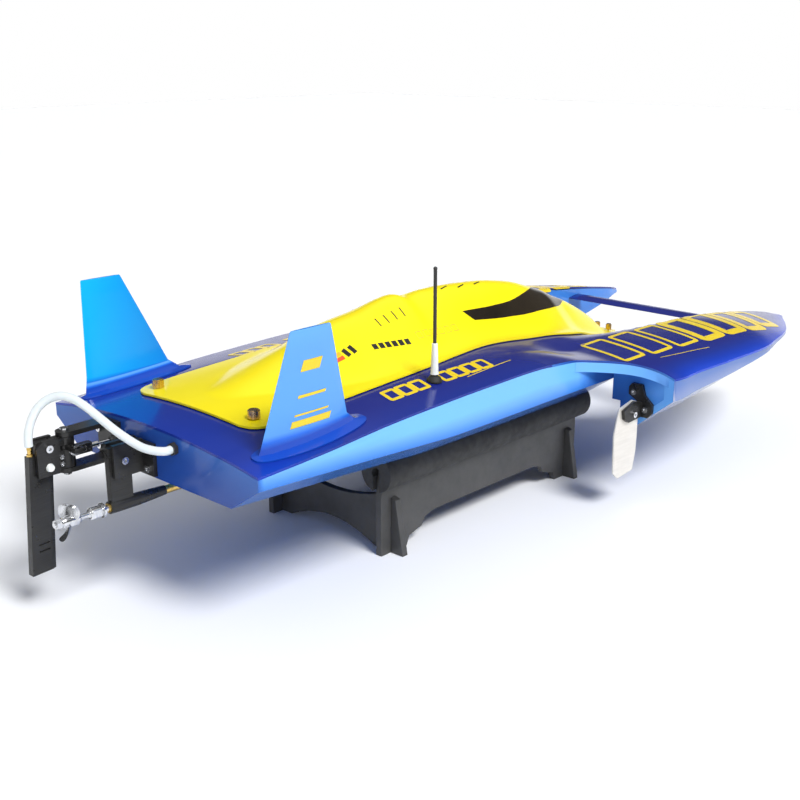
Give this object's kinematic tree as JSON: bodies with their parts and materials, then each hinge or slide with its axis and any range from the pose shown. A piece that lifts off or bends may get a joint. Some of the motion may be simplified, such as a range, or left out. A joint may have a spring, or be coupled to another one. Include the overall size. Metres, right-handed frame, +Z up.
{
  "type": "electric rc hydroplane boat on stand",
  "caption": "Radio-controlled hydroplane with twin sponsons, tail fins, lift-off cowl, steerable rudder, bent shaft drive and propeller, resting on a padded stand.",
  "frame": {"origin": "on the floor under the middle of the whole length, on the boat centreline", "axes": "+X towards the bow, +Y to port, +Z up"},
  "size_m": [0.836, 0.366, 0.2317],
  "materials": {
    "deck_gelcoat": "gloss navy gelcoat",
    "hull_gelcoat": "gloss azure gelcoat",
    "fin_gelcoat": "gloss blue gelcoat",
    "cowl_gelcoat": "gloss lemon yellow gelcoat",
    "black_anodised": "satin black anodised",
    "bare_aluminium": "brushed bare aluminium",
    "blue_anodised": "satin blue anodised",
    "bright_steel": "polished",
    "cable_steel": "satin, greased",
    "nut_brass": "polished, knurled",
    "brass_parts": "satin",
    "black_rubber": "matt",
    "silicone_hose": "milky translucent silicone",
    "white_nylon": "semi-matt nylon",
    "black_plastic": "fine satin moulding",
    "grey_plastic": "matt, smoke grey",
    "motor_paint": "satin dark paint",
    "battery_wrap": "shrink wrap, gloss",
    "strap_webbing": "woven webbing",
    "stand_board": "matt charcoal board",
    "foam_rubber": "matt closed-cell foam"
  },
  "bodies": {
    "stand": {"stand_long_panels": "stand_board", "stand_cross_panels": "stand_board", "foam_tubes": "foam_rubber"},
    "boat": {"hull_tub": "hull_gelcoat", "sponson_starboard": "hull_gelcoat", "sponson_port": "hull_gelcoat", "deck": "deck_gelcoat", "canard_wing": "deck_gelcoat", "fin_starboard": "fin_gelcoat", "fin_port": "fin_gelcoat", "hatch_studs": "bright_steel", "antenna_grommet": "black_rubber", "antenna_sleeve": "white_nylon", "antenna_tube": "black_plastic", "turn_fin_bracket": "black_anodised", "turn_fin_blade": "bare_aluminium", "turn_fin_screws": "bright_steel", "strut_bracket": "black_anodised", "strut": "black_anodised", "strut_bushing": "brass_parts", "strut_screws": "bright_steel", "stuffing_tube": "brass_parts", "flex_cable": "cable_steel", "rudder_bracket": "black_anodised", "rudder_bracket_screws": "bright_steel", "rudder_pivot_pin": "bright_steel", "pushrod_bellows": "black_rubber", "water_outlet": "black_plastic", "water_hose": "silicone_hose", "motor_mount": "bare_aluminium", "motor_can": "motor_paint", "motor_bearings": "bright_steel", "motor_screws": "bright_steel", "water_jacket": "blue_anodised", "jacket_hoses": "silicone_hose", "speed_control": "black_plastic", "radio_box": "grey_plastic", "steering_servo": "black_plastic", "servo_screws": "bright_steel", "battery_tray": "black_plastic", "battery_packs": "battery_wrap", "battery_straps": "strap_webbing"},
    "cowl": {"hatch_cowl": "cowl_gelcoat"},
    "nut_rear_port": {"thumb_nut_rear_port": "nut_brass"},
    "nut_rear_starboard": {"thumb_nut_rear_starboard": "nut_brass"},
    "nut_front_port": {"thumb_nut_front_port": "nut_brass"},
    "nut_front_starboard": {"thumb_nut_front_starboard": "nut_brass"},
    "prop_shaft": {"drive_dog": "bright_steel", "propeller": "bright_steel", "prop_nut": "bright_steel"},
    "rotor": {"motor_rotor": "cable_steel", "shaft_coupler": "bright_steel"},
    "rudder": {"rudder_holder": "black_anodised", "rudder_blade": "black_anodised", "steering_arm": "black_anodised", "rudder_screws": "bright_steel", "breakaway_screw": "white_nylon", "water_nipple": "brass_parts"},
    "linkage": {"pushrod": "bright_steel"},
    "horn": {"servo_horn": "white_nylon"}
  },
  "joints": [
    {"name": "boat_lift", "type": "slide", "parent": "stand", "child": "boat", "axis": [0, 0, 1], "range_m": [0, 0.1]},
    {"name": "cowl_lift", "type": "slide", "parent": "boat", "child": "cowl", "axis": [0, 0, 1], "range_m": [0, 0.06]},
    {"name": "nut_rear_port_spin", "type": "hinge", "parent": "cowl", "child": "nut_rear_port", "pos_m": [-0.293, 0.056, 0.14], "axis": [0, 0, 1], "continuous": true},
    {"name": "nut_rear_starboard_spin", "type": "hinge", "parent": "cowl", "child": "nut_rear_starboard", "pos_m": [-0.293, -0.056, 0.14], "axis": [0, 0, 1], "continuous": true},
    {"name": "nut_front_port_spin", "type": "hinge", "parent": "cowl", "child": "nut_front_port", "pos_m": [0.23, 0.007, 0.104], "axis": [0, 0, 1], "continuous": true},
    {"name": "nut_front_starboard_spin", "type": "hinge", "parent": "cowl", "child": "nut_front_starboard", "pos_m": [0.23, -0.007, 0.104], "axis": [0, 0, 1], "continuous": true},
    {"name": "motor_spin", "type": "hinge", "parent": "boat", "child": "rotor", "pos_m": [-0.26225, 0.008, 0.08292], "axis": [0.9903, 0, 0.1392], "continuous": true},
    {"name": "prop_spin", "type": "hinge", "parent": "boat", "child": "prop_shaft", "pos_m": [-0.404, 0.008, 0.08], "axis": [1, 0, 0], "continuous": true},
    {"name": "rudder_turn", "type": "hinge", "parent": "boat", "child": "rudder", "pos_m": [-0.382, 0.045, 0.116], "axis": [0, 0, 1], "range_deg": [-30, 30]},
    {"name": "pushrod_slide", "type": "slide", "parent": "boat", "child": "linkage", "axis": [1, 0, 0], "range_m": [-0.0085, 0.0085]},
    {"name": "servo_turn", "type": "hinge", "parent": "boat", "child": "horn", "pos_m": [-0.234, 0.045, 0.12], "axis": [0, 0, 1], "range_deg": [-30.5, 30.5]}
  ],
  "couplings": [
    {"joint": "prop_spin", "follows": "motor_spin", "ratio": 1},
    {"joint": "pushrod_slide", "follows": "rudder_turn", "m_per_rad": 0.01543},
    {"joint": "servo_turn", "follows": "rudder_turn", "ratio": 1}
  ]
}
